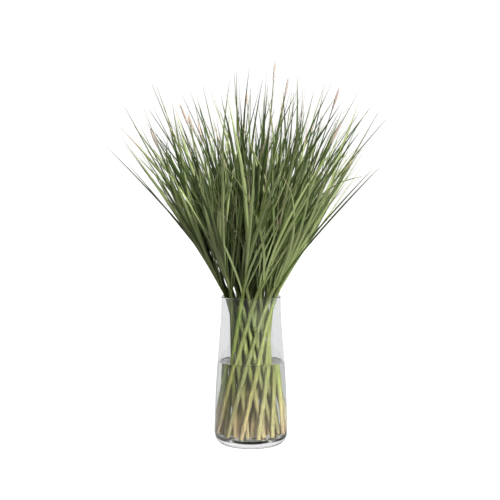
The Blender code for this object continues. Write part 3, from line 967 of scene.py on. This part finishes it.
def blade_finish(veins, drying, mottle):
    """Green leaf: pale at its root, veined, with a light midrib, going tan at its tip, and one half of its
    fold darkened with painted shade.
    """
    made, tree, shader = new_finish("lemongrass blade")
    leaf = node(tree, "ShaderNodeUVMap", uv_map="leaf").outputs[0]
    split = node(tree, "ShaderNodeSeparateXYZ", {0: leaf})
    tone, dryness = attribute(tree, "tone"), attribute(tree, "dryness")
    lines = placed(tree, veins, {"Leaf": leaf, "Lines": 7.0, "Unevenness": 0.45})
    dry = placed(tree, drying, {"Leaf": leaf, "Dryness": dryness, "Patch Size": 60.0})
    patches = placed(tree, mottle, {"Size": 9.0, "Specks": 420.0})
    green = mixed(tree, tone, colour(36, 56, 17), colour(190, 206, 146))
    sage = mixed(tree, stepped(tree, tone, 0.12, 0.0), green, colour(46, 68, 32))
    drift = maths(tree, "MULTIPLY", patches.outputs["Drift"], 0.35)
    drifted = mixed(tree, drift, sage, colour(118, 146, 56))
    root = maths(tree, "MULTIPLY", stepped(tree, split.outputs["Y"], 0.16, 0.0), tone)
    rooted = mixed(tree, root, drifted, colour(166, 184, 116))
    veined = mixed(tree, maths(tree, "MULTIPLY", lines.outputs["Mask"], 0.30), rooted, colour(70, 88, 40))
    # Painted shade: one half of the folded blade is darkened as if the light fell on the other half. The
    # margins are darker too. Both show less on paler blades.
    shading = stepped(tree, tone, 1.5, 0.0)
    off_rib = maths(tree, "ABSOLUTE", maths(tree, "SUBTRACT", split.outputs["X"], 0.5))
    painted_shade_half = maths(tree, "MULTIPLY", stepped(tree, split.outputs["X"], 0.48, 0.52), 0.48)
    half_in_painted_shade = mixed(tree, maths(tree, "MULTIPLY", painted_shade_half, shading), veined, colour(36, 54, 20))
    margin = maths(tree, "MULTIPLY", stepped(tree, off_rib, 0.34, 0.50), 0.60)
    margined = mixed(tree, maths(tree, "MULTIPLY", margin, shading), half_in_painted_shade, colour(30, 46, 18))
    rib = maths(tree, "MULTIPLY", stepped(tree, off_rib, 0.10, 0.02), 0.60)
    ribbed = mixed(tree, maths(tree, "MULTIPLY", rib, tone), margined, colour(204, 212, 160))
    speck = maths(tree, "MULTIPLY", patches.outputs["Speck"], 0.25)
    specked = mixed(tree, speck, ribbed, colour(120, 106, 62))
    straw = mixed(tree, lines.outputs["Streak"], colour(218, 204, 180), colour(196, 176, 146))
    edge = mixed(tree, maths(tree, "MULTIPLY", dry.outputs["Brown Edge"], 0.4), straw, colour(150, 122, 90))
    tree.links.new(mixed(tree, dry.outputs["Mask"], specked, edge), shader.inputs["Base Color"])
    roughened(tree, shader, lines.outputs["Mask"], 0.0003, 0.42, 0.16)
    shader.inputs["Specular IOR Level"].default_value = 0.4
    return made


def stem_finish(veins, mottle):
    """Stem and rolled spear: straw-pale at its cut foot, yellow-green in the water, green above."""
    made, tree, shader = new_finish("lemongrass stem")
    leaf = node(tree, "ShaderNodeUVMap", uv_map="leaf").outputs[0]
    tone = attribute(tree, "tone")
    lines = placed(tree, veins, {"Leaf": leaf, "Lines": 16.0, "Unevenness": 0.6})
    patches = placed(tree, mottle, {"Size": 14.0, "Specks": 300.0})
    place = node(tree, "ShaderNodeTexCoord").outputs["Object"]
    height = node(tree, "ShaderNodeSeparateXYZ", {0: place}).outputs["Z"]
    share_up = maths(tree, "MULTIPLY", height, 1 / STEM_COLOURS_TOP)
    ramp = node(tree, "ShaderNodeValToRGB", {0: share_up})
    stops = (
        (0.025, colour(136, 112, 94)),
        (0.085, colour(122, 106, 76)),
        (0.190, colour(102, 102, 52)),
        (0.300, colour(100, 111, 62)),
        (0.430, colour(98, 115, 70)),
        (0.800, colour(74, 104, 48)),
    )
    for position, _ in stops[2:]:
        ramp.color_ramp.elements.new(position)
    for stop, (position, shade) in zip(ramp.color_ramp.elements, stops):
        stop.position = position
        stop.color = shade
    greyness = maths(tree, "MULTIPLY", stepped(tree, tone, 0.45, 1.0), 0.55)
    greyed = mixed(tree, greyness, ramp.outputs[0], colour(86, 92, 70))
    fresh = maths(tree, "MULTIPLY", stepped(tree, tone, 0.30, 0.10), stepped(tree, height, 0.050, 0.110))
    freshened = mixed(tree, maths(tree, "MULTIPLY", fresh, 0.60), greyed, colour(98, 122, 46))
    low = stepped(tree, height, 0.130, 0.050)
    blush = maths(tree, "MULTIPLY", stepped(tree, tone, 0.93, 0.97), low)
    blushed = mixed(tree, maths(tree, "MULTIPLY", blush, 0.70), freshened, colour(124, 94, 78))
    streaked = mixed(tree, maths(tree, "MULTIPLY", lines.outputs["Mask"], 0.36), blushed, colour(60, 68, 34))
    drift = maths(tree, "MULTIPLY", patches.outputs["Drift"], 0.24)
    drifted = mixed(tree, drift, streaked, colour(140, 140, 90))
    cut = stepped(tree, height, GLASS_FLOOR + CUT_FROM, GLASS_FLOOR + CUT_TO)
    ended = mixed(tree, maths(tree, "MULTIPLY", cut, 0.5), drifted, colour(120, 100, 70))
    tree.links.new(ended, shader.inputs["Base Color"])
    roughened(tree, shader, lines.outputs["Mask"], 0.0002, 0.38, 0.18)
    shader.inputs["Specular IOR Level"].default_value = 0.0
    return made


def husk_finish(veins, mottle):
    """Dry seed husk: pinkish straw, browner in its creases."""
    made, tree, shader = new_finish("lemongrass seed husk")
    leaf = node(tree, "ShaderNodeUVMap", uv_map="leaf").outputs[0]
    tone = attribute(tree, "tone")
    lines = placed(tree, veins, {"Leaf": leaf, "Lines": 5.0, "Unevenness": 0.5})
    patches = placed(tree, mottle, {"Size": 40.0, "Specks": 700.0})
    straw = mixed(tree, tone, colour(208, 196, 190), colour(180, 156, 142))
    crease = maths(tree, "MULTIPLY", lines.outputs["Mask"], 0.30)
    creased = mixed(tree, crease, straw, colour(150, 130, 118))
    drift = maths(tree, "MULTIPLY", patches.outputs["Drift"], 0.3)
    drifted = mixed(tree, drift, creased, colour(198, 186, 176))
    tree.links.new(drifted, shader.inputs["Base Color"])
    roughened(tree, shader, lines.outputs["Mask"], 0.0002, 0.55, 0.2)
    return made


def clear_finish(name, tint, index, wave_size, wave_depth):
    """Clear glass or water, faintly uneven, that lets lamps through to what stands behind it."""
    made, tree, shader = new_finish(name)
    shader.inputs["Base Color"].default_value = tint
    shader.inputs["Roughness"].default_value = 0.0
    shader.inputs["IOR"].default_value = index
    shader.inputs["Transmission Weight"].default_value = 1.0
    place = node(tree, "ShaderNodeTexCoord").outputs["Object"]
    waves = node(tree, "ShaderNodeTexNoise", {"Vector": place, "Scale": wave_size, "Detail": 1.0})
    bump = node(tree, "ShaderNodeBump", {"Height": waves.outputs["Fac"], "Distance": wave_depth})
    tree.links.new(bump.outputs[0], shader.inputs["Normal"])
    rays = node(tree, "ShaderNodeLightPath")
    lets_through = node(tree, "ShaderNodeBsdfTransparent", {"Color": tint})
    sides = {0: rays.outputs["Is Shadow Ray"], 1: shader.outputs[0], 2: lets_through.outputs[0]}
    both = node(tree, "ShaderNodeMixShader", sides)
    tree.links.new(both.outputs[0], tree.nodes["Material Output"].inputs["Surface"])
    return made


def turned(name, outline, finish):
    """A solid spun about Z from (radius, height) points that start and end on the axis."""
    mesh = bpy.data.meshes.new(name)
    edges = [(i, i + 1) for i in range(len(outline) - 1)]
    mesh.from_pydata([(r, 0.0, h) for r, h in outline], edges, [])
    made = bpy.data.objects.new(name, mesh)
    bpy.context.scene.collection.objects.link(made)
    deselect()
    made.select_set(True)
    bpy.context.view_layer.objects.active = made
    bpy.ops.object.mode_set(mode="EDIT")
    bpy.ops.mesh.select_all(action="SELECT")
    bpy.ops.mesh.spin(steps=TURNED_STEPS, angle=math.tau, center=(0, 0, 0), axis=(0, 0, 1))
    bpy.ops.mesh.select_all(action="SELECT")
    bpy.ops.mesh.remove_doubles(threshold=0.00001)
    bpy.ops.mesh.normals_make_consistent(inside=False)
    bpy.ops.object.mode_set(mode="OBJECT")
    bpy.ops.object.shade_smooth_by_angle(angle=ROUND_CREASE)
    mesh.materials.append(finish)
    return made


def in_plane(points):
    """(radius, height) pairs as points for a smooth curve."""
    return np.array([(r, 0.0, h) for r, h in points])


def build_vase():
    """The glass: flat underside, rounded foot, tapering wall and a fire-polished lip."""
    glass = clear_finish("clear vase glass", *GLASS_LOOK)
    foot = smooth(in_plane(VASE_OUTSIDE[:OUTSIDE_TURN + 1]), FOOT_STEPS)
    wall = smooth(in_plane(VASE_OUTSIDE[OUTSIDE_TURN:]), WALL_STEPS)
    inner = smooth(in_plane(VASE_INSIDE[:INSIDE_TURN + 1]), WALL_STEPS)
    well = smooth(in_plane(VASE_INSIDE[INSIDE_TURN:]), WELL_STEPS)
    half = VASE_OUTSIDE[-1][0] - VASE_LIP[0]
    edge = VASE_LIP[1] - half
    lip = [(VASE_OUTSIDE[-1][0], edge - EDGE_RING)]
    for turn in np.linspace(0.0, math.pi, LIP_STEPS + 1):
        lip.append((VASE_LIP[0] + half * math.cos(turn), edge + half * math.sin(turn)))
    lip.append((VASE_INSIDE[0][0], edge - EDGE_RING))
    outside = [(r, h) for r, _, h in (*foot, *wall[1:-1])]
    inside = [(r, h) for r, _, h in (*inner[1:], *well[1:])]
    underside = [(0.0, 0.0), (VASE_OUTSIDE[0][0] - EDGE_RING, 0.0)]
    floor = [(VASE_INSIDE[-1][0] - EDGE_RING, GLASS_FLOOR), (0.0, GLASS_FLOOR)]
    vase = turned("vase_glass", [*underside, *outside, *lip, *inside, *floor], glass)
    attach(vase, "root")
    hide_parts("vase")


def build_water():
    """The water: it fills the glass to its level and climbs a little at the wall."""
    clear = clear_finish("clear water", *WATER_LOOK)
    radii, heights = zip(*reversed(VASE_INSIDE))
    inner = smooth(in_plane(VASE_INSIDE[:INSIDE_TURN + 1]), WATER_WALL_STEPS)[::-1]
    well = smooth(in_plane(VASE_INSIDE[INSIDE_TURN:]), WELL_STEPS)[::-1]
    top = WATER_LEVEL + MENISCUS_RISE
    wall = [(r + WATER_INTO_GLASS, h) for r, _, h in (*well[1:], *inner[1:]) if h < top]
    edge = float(np.interp(top, heights, radii))
    climb = []
    for share in np.linspace(0.0, 1.0, MENISCUS_STEPS + 1):
        rise = MENISCUS_RISE * (1 - share) ** MENISCUS_POWER
        climb.append((edge - MENISCUS_REACH * share, WATER_LEVEL + rise))
    bottom = GLASS_FLOOR - WATER_INTO_GLASS
    start = [(0.0, bottom), (VASE_INSIDE[-1][0] - EDGE_RING, bottom), (VASE_INSIDE[-1][0], bottom)]
    outline = [*start, *wall, (edge + WATER_INTO_GLASS, top), *climb, (0.0, WATER_LEVEL)]
    water = turned("water_body", outline, clear)
    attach(water, "root")
    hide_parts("water")


def build_stalks():
    """Every stalk on its own line: stem, spear, the frame's blades, finer blades, wisps and husks."""
    draws = np.random.default_rng(BUNCH_SEED)
    stalks = planned_stalks(draws)
    stems = settled_stems(stalks, draws)
    blades = settled_blades(stalks, stems, draws)
    looks = np.random.default_rng(FINE_SEED)
    fine = fine_blades(stalks, stems, blades, looks)
    wisps = wisp_lines(stems, looks)
    crossings = crossing_blades(stems, looks)
    veins, drying, mottle = vein_group(), drying_group(), mottle_group()
    green, skin = blade_finish(veins, drying, mottle), stem_finish(veins, mottle)
    husk = husk_finish(veins, mottle)
    patterns = blade_pattern(), stem_pattern(), husk_pattern()
    blade_places, stem_places, husk_places = (pattern_places(p) for p in patterns)
    blade, stem, seed = patterns
    ring_of = [ring for ring, (count, _, _) in enumerate(RINGS) for _ in range(count)]
    for i, (line, radii) in enumerate(stems):
        name = f"lemongrass_{i + 1:02d}"
        grown = [lay_stem(stem, stem_places, name, line, radii, skin, looks, has_seeds(i))]
        ring = ring_of[i]
        laid_blades = [(own, looks.uniform(*OWN_WIDTHS), None) for own in blades[i]]
        laid_blades += [(own, widest, None) for own, widest in fine[i]]
        laid_blades += [(own, WISP_WIDTH, WISP_DRYNESS) for owner, own in wisps if owner == i]
        for own, widest, dryness in laid_blades:
            # Paler blades on the outer rings are painted light, and darker blades on the inner rings are
            # painted shade in the heart of the bunch
            pale = looks.uniform(0, 1) < PALE_SHARES_PAINTED_LIGHT[ring]
            tone = looks.uniform(*(PALE_TONES_PAINTED_LIGHT if pale else RING_TONES_PAINTED_SHADE[ring]))
            grown.append(lay_blade(blade, blade_places, name, own, widest, green, looks, tone, dryness))
        for owner, own, widest in crossings:
            if owner == i:
                # The blades that cross over the outside take the pale tones: painted light
                tone, dryness = looks.uniform(*PALE_TONES_PAINTED_LIGHT), looks.uniform(*CROSSING_DRYNESS)
                grown.append(lay_blade(blade, blade_places, name, own, widest, green, looks, tone, dryness))
        if has_seeds(i):
            grown.extend(lay_husks(seed, husk_places, name, line, husk, looks))
        stalk = joined(name, grown)
        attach(stalk, "root")
        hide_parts(f"stalk_{i + 1:02d}")
    for pattern in patterns:
        bpy.data.objects.remove(pattern)


def in_glass(tree, rays):
    """1 for what is seen through or mirrored in glass and water, 0 for light that lands on a leaf."""
    unlanded = maths(tree, "LESS_THAN", rays.outputs["Diffuse Depth"], 0.5)
    return maths(tree, "MULTIPLY", rays.outputs["Is Singular Ray"], unlanded)


def build_floor():
    """A plain white floor that the vase stands on, a hair under it so that they don't share a face."""
    deselect()
    bpy.ops.mesh.primitive_plane_add(size=FLOOR_SIZE, location=(0.0, 0.0, -FLOOR_DROP))
    floor = bpy.context.object
    floor.name = "floor"
    made, tree, shader = new_finish("pale floor")
    shader.inputs["Base Color"].default_value = FLOOR_SHADE
    shader.inputs["Roughness"].default_value = FLOOR_ROUGHNESS
    shader.inputs["Emission Color"].default_value = WHITE
    rays = node(tree, "ShaderNodeLightPath")
    seen = maths(tree, "MULTIPLY", rays.outputs["Is Camera Ray"], FLOOR_GLOW)
    place = node(tree, "ShaderNodeTexCoord").outputs["Object"]
    split = node(tree, "ShaderNodeSeparateXYZ", {0: place})
    behind = stepped(tree, split.outputs["Y"], -0.05, 0.15)
    glow_in_glass = maths(tree, "MULTIPLY", behind, FLOOR_GLOW_BEHIND_GLASS)
    refracted = maths(tree, "MULTIPLY", in_glass(tree, rays), glow_in_glass)
    tree.links.new(maths(tree, "ADD", seen, refracted), shader.inputs["Emission Strength"])
    floor.data.materials.append(made)


def add_sun(name, place, softness, power, shade):
    lamp = bpy.data.lights.new(name, "SUN")
    lamp.angle = softness
    lamp.cycles.use_multiple_importance_sampling = False
    lamp.energy = power
    lamp.color = shade
    holder = bpy.data.objects.new(name, lamp)
    holder.location = place
    holder.rotation_mode = "QUATERNION"
    aim = Vector(LAMPS_AIM) - Vector(place)
    holder.rotation_quaternion = aim.to_track_quat("-Z", "Y")
    bpy.context.scene.collection.objects.link(holder)


def build_light():
    """A white studio: a bright backdrop, a dim room in front of it, and soft lamps."""
    world = bpy.data.worlds.new("studio")
    world.use_nodes = True
    bpy.context.scene.world = world
    tree = world.node_tree
    backdrop = tree.nodes["Background"]
    backdrop.inputs["Color"].default_value = WHITE
    backdrop.inputs["Strength"].default_value = BACKDROP_GLOW
    rays = node(tree, "ShaderNodeLightPath")
    direction = node(tree, "ShaderNodeTexCoord").outputs["Generated"]
    way = node(tree, "ShaderNodeSeparateXYZ", {0: direction})
    behind = stepped(tree, way.outputs["Y"], -0.15, 0.35)
    above = stepped(tree, way.outputs["Z"], 0.4, 0.8)
    for_leaves = mixed(tree, behind, AMBIENT_IN_FRONT, AMBIENT_BEHIND)
    sideways = mixed(tree, behind, GLASS_SEES_IN_FRONT, GLASS_SEES_BEHIND)
    for_glass = mixed(tree, above, sideways, GLASS_SEES_ABOVE)
    surroundings = mixed(tree, in_glass(tree, rays), for_leaves, for_glass)
    room = node(tree, "ShaderNodeBackground", {"Color": surroundings})
    sides = {0: rays.outputs["Is Camera Ray"], 1: room.outputs[0], 2: backdrop.outputs[0]}
    both = node(tree, "ShaderNodeMixShader", sides)
    tree.links.new(both.outputs[0], tree.nodes["World Output"].inputs["Surface"])
    add_sun("key lamp", *KEY_LAMP)
    add_sun("fill lamp", *FILL_LAMP)


def build_camera():
    lens = bpy.data.cameras.new("camera")
    lens.sensor_width = SENSOR_WIDTH
    lens.lens = SENSOR_WIDTH * FOCAL_PIXELS / PHOTO_SIZE
    camera = bpy.data.objects.new("camera", lens)
    camera.location = CAMERA_PLACE
    camera.rotation_euler = (math.pi / 2 - CAMERA_PITCH, 0.0, 0.0)
    bpy.context.scene.collection.objects.link(camera)
    bpy.context.scene.camera = camera
    bpy.context.scene.view_settings.view_transform = "Standard"


build_camera()
build_stalks()
build_vase()
build_water()
build_floor()
build_light()
